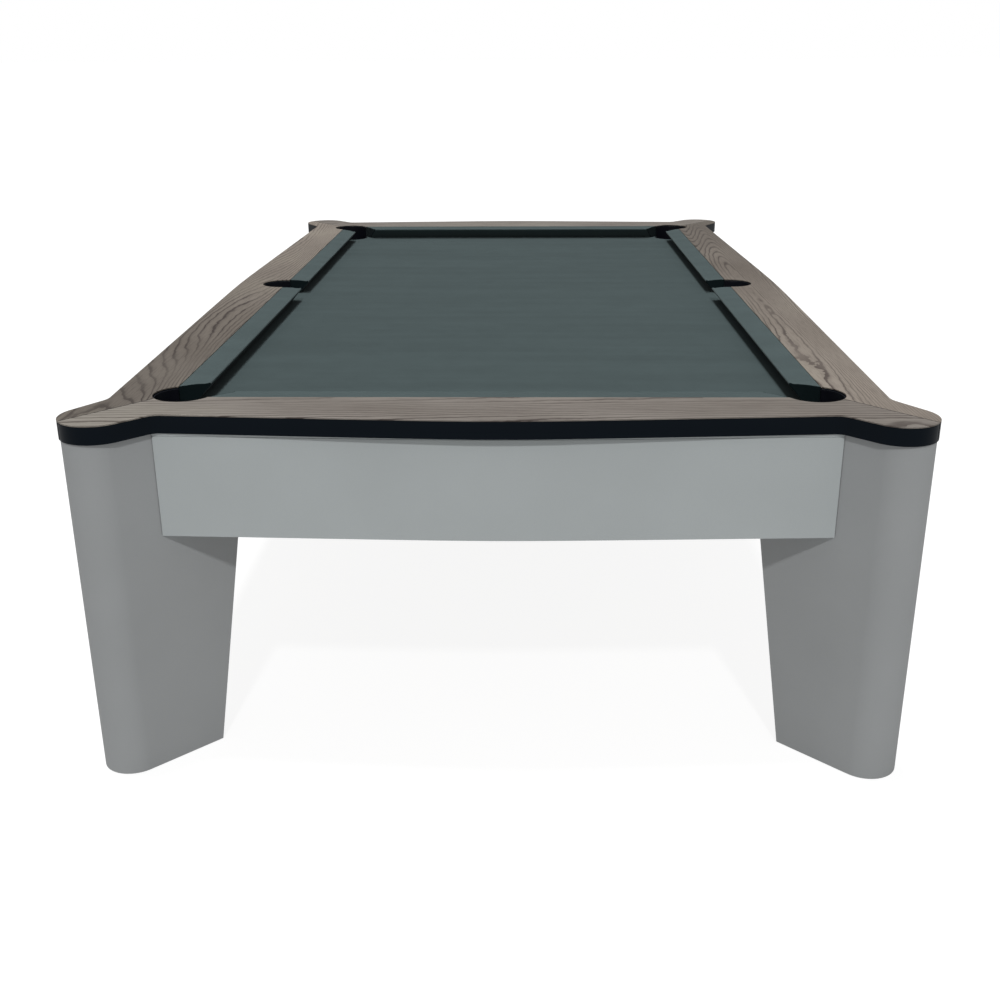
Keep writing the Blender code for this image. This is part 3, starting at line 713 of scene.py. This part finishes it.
def make_bed_cloth():
    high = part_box("bed_cloth")[1]
    outline = cloth_outline()
    holes = pocket_holes(outline)
    edge_x = high.x + CLOTH_SIDE_REACH - CLOTH_BEND
    edge_y = high.y + CLOTH_SIDE_REACH - CLOTH_BEND

    work = bmesh.new()
    border = cloth_border(outline, holes, edge_x, edge_y)
    work.faces.new([work.verts.new((spot.x, spot.y, high.z)) for spot in border])
    gridded(work, -edge_x, edge_x, CLOTH_STEP_X, 0)
    gridded(work, -edge_y, edge_y, CLOTH_STEP_Y, 1)
    for vertex in work.verts:
        fade = min(1.0, hole_near(holes, vertex.co)[1] / CREASE_FADE)
        vertex.co.z += creased(vertex.co.x, vertex.co.y) * max(0.0, fade)

    borders = [edge for edge in work.edges if len(edge.link_faces) == 1]
    in_pocket = [e for e in borders if all(hole_near(holes, v.co)[1] < ON_HOLE for v in e.verts)]
    rest = [e for e in borders if e not in set(in_pocket)]
    long_edges = [e for e in rest if all(abs(abs(v.co.x) - edge_x) < ON_EDGE for v in e.verts)]
    short_edges = [e for e in rest if e not in set(long_edges)]
    for centre, _ in holes:
        edges = [e for e in in_pocket if (Vector(e.verts[0].co[:2]) - centre).length < HOLE_REACH]
        turned_down(work, edges, lambda p, c=centre: (c - Vector(p[:2])).normalized())
    turned_down(work, long_edges, lambda p: Vector((1 if p.x > 0 else -1, 0)))
    turned_down(work, short_edges, lambda p: Vector((0, 1 if p.y > 0 else -1)))
    bmesh.ops.recalc_face_normals(work, faces=work.faces)
    if sum(face.normal.z * face.calc_area() for face in work.faces) < 0:
        bmesh.ops.reverse_faces(work, faces=work.faces)
    area = sum(face.calc_area() for face in work.faces)
    cloth = piece("bed_cloth_sheet", work, bed_green, ["bed_cloth"])
    body = cloth.modifiers.new("Thickness", "SOLIDIFY")
    body.thickness = CLOTH_THICKNESS
    body.offset = -1


# ---------------------------------------------------------------- pockets, base and feet


def make_pockets():
    for name in (*QUADRANTS, "middle_left", "middle_right"):
        refined("pocket_liner_" + name, "pocket_cup_" + name, plastic, LINER_ROUND, 2)


def make_base():
    for part in ("near", "middle", "far"):
        refined("slate_slab_" + part, "slate_" + part, stone, SLATE_ROUND, 2)
    for side in SIDES:
        refined("liner_board_" + side, "slate_liner_" + side, beech_wood, TIMBER_ROUND, 2)
    for side in ("left", "right"):
        refined("frame_rail_" + side, "long_beam_" + side, pine_long, TIMBER_ROUND, 2)
    for side in ("near", "far"):
        refined("frame_end_" + side, "end_beam_" + side, pine_cross, TIMBER_ROUND, 2)
        refined("frame_cross_" + side, "cross_beam_" + side, pine_cross, TIMBER_ROUND, 2)
    for corner in QUADRANTS:
        refined("frame_block_" + corner, "corner_bracket_" + corner, pine_long, TIMBER_ROUND, 2)
    for name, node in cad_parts.items():
        if name.startswith("feather_strip_"):
            node.data.materials.clear()
            node.data.materials.append(beech_wood)


def turned(profile, centre, sides):
    """A solid of revolution about a vertical axis. The profile is (radius, height) from axis to axis."""
    work = bmesh.new()
    rings = []
    for radius, height in profile:
        if radius == 0:
            rings.append([work.verts.new((centre.x, centre.y, height))])
            continue
        turns = [2 * pi * i / sides for i in range(sides)]
        spots = [(centre.x + radius * cos(t), centre.y + radius * sin(t), height) for t in turns]
        rings.append([work.verts.new(spot) for spot in spots])
    for first, second in zip(rings, rings[1:]):
        for i in range(sides):
            j = (i + 1) % sides
            corners = [first[i % len(first)], first[j % len(first)]]
            corners += [second[j % len(second)], second[i % len(second)]]
            work.faces.new(list(dict.fromkeys(corners)))
    bmesh.ops.recalc_face_normals(work, faces=work.faces)
    return work


def threaded(centre, radius, low, high):
    """A stud with a screw thread, as rings whose radius follows the helix."""
    rows = round((high - low) / THREAD_PITCH * THREAD_ROWS_PER_TURN)
    work = bmesh.new()
    rings = []
    for row in range(rows + 1):
        height = low + (high - low) * row / rows
        fade = min(1.0, (height - low) / THREAD_PITCH, (high - height) / THREAD_PITCH)
        ring = []
        for i in range(THREAD_SIDES):
            turn = 2 * pi * i / THREAD_SIDES
            phase = ((height - low) / THREAD_PITCH - i / THREAD_SIDES) % 1
            size = radius - THREAD_DEPTH * (abs(2 * phase - 1) * fade + (1 - fade))
            ring.append(work.verts.new((centre.x + size * cos(turn), centre.y + size * sin(turn), height)))
        rings.append(ring)
    for first, second in zip(rings, rings[1:]):
        for i in range(THREAD_SIDES):
            j = (i + 1) % THREAD_SIDES
            work.faces.new((first[i], first[j], second[j], second[i]))
    work.faces.new(rings[0])
    work.faces.new(rings[-1])
    bmesh.ops.recalc_face_normals(work, faces=work.faces)
    return work


def make_feet():
    for corner in QUADRANTS:
        body = "foot_" + corner
        node = "foot_pad_" + corner
        low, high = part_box(node)
        centre = centre_of(node)
        edge = (high.x - low.x) / 2
        tall = high.z - low.z
        profile = [(radius * edge, low.z + height * tall) for radius, height in PAD_OUTLINE]
        pad = turned(profile, centre, PAD_SIDES)
        piece("foot_rubber_" + corner, pad, rubber, [node], body)
        node = "foot_stud_" + corner
        low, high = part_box(node)
        stud = threaded(centre, (high.x - low.x) / 2, low.z, high.z)
        piece("foot_screw_" + corner, stud, zinc, [node], body)


# ---------------------------------------------------------------- studio


def make_floor():
    work = bmesh.new()
    corners = [(-1, -1), (1, -1), (1, 1), (-1, 1)]
    spots = [(x * FLOOR_HALF, y * FLOOR_HALF, -FLOOR_DROP) for x, y in corners]
    work.faces.new([work.verts.new(spot) for spot in spots])
    mesh = bpy.data.meshes.new("floor")
    work.to_mesh(mesh)
    work.free()
    mesh.materials.append(floor_finish("pale_floor"))
    floor = bpy.data.objects.new("floor", mesh)
    bpy.context.scene.collection.objects.link(floor)


def far_light(name, direction, strength, spread):
    """A distant soft lamp. direction points from the table to it, spread is its width in degrees."""
    data = bpy.data.lights.new(name, "SUN")
    data.energy = strength
    data.angle = radians(spread)
    light = bpy.data.objects.new(name, data)
    bpy.context.scene.collection.objects.link(light)
    light.rotation_euler = Vector(direction).to_track_quat("Z", "Y").to_euler()


def make_studio():
    """Two distant lamps, a dim surround that darkens towards the horizon and a white backdrop."""
    world = bpy.data.worlds.new("studio")
    bpy.context.scene.world = world
    world.use_nodes = True
    tree = world.node_tree
    surround = tree.nodes["Background"]
    backdrop = tree.nodes.new("ShaderNodeBackground")
    backdrop.inputs["Color"].default_value = (1, 1, 1, 1)
    direction = tree.nodes.new("ShaderNodeTexCoord")
    split = tree.nodes.new("ShaderNodeSeparateXYZ")
    tree.links.new(direction.outputs["Generated"], split.inputs[0])
    level = tree.nodes.new("ShaderNodeMapRange")
    level.inputs["To Min"].default_value = SKY_AT_HORIZON
    level.inputs["To Max"].default_value = SKY_OVERHEAD
    tree.links.new(split.outputs["Z"], level.inputs["Value"])
    tree.links.new(level.outputs[0], surround.inputs["Strength"])
    surround.inputs["Color"].default_value = (1, 1, 1, 1)
    seen = tree.nodes.new("ShaderNodeLightPath")
    both = tree.nodes.new("ShaderNodeMixShader")
    tree.links.new(seen.outputs["Is Camera Ray"], both.inputs[0])
    tree.links.new(surround.outputs[0], both.inputs[1])
    tree.links.new(backdrop.outputs[0], both.inputs[2])
    tree.links.new(both.outputs[0], tree.nodes["World Output"].inputs["Surface"])
    far_light("overhead", (-0.07, 0.05, 1.0), strength=1.95, spread=7.0)
    far_light("front", (0.05, -1.0, 1.0), strength=0.95, spread=3.5)
    bpy.context.scene.view_settings.view_transform = "Standard"


def make_camera():
    data = bpy.data.cameras.new("camera")
    data.lens = CAMERA_LENS
    data.sensor_width = SENSOR_WIDTH
    data.clip_end = CAMERA_REACH
    camera = bpy.data.objects.new("camera", data)
    bpy.context.scene.collection.objects.link(camera)
    turn = Matrix.Rotation(CAMERA_YAW, 4, "Z") @ Matrix.Rotation(pi / 2 - CAMERA_DOWN, 4, "X")
    turn = turn @ Matrix.Rotation(CAMERA_ROLL, 4, "Z")
    camera.matrix_world = Matrix.Translation(CAMERA_PLACE) @ turn
    bpy.context.scene.camera = camera


make_rails()
make_aprons()
make_legs()
make_cushions()
make_bed_cloth()
make_pockets()
make_base()
make_feet()
make_floor()
make_studio()
make_camera()
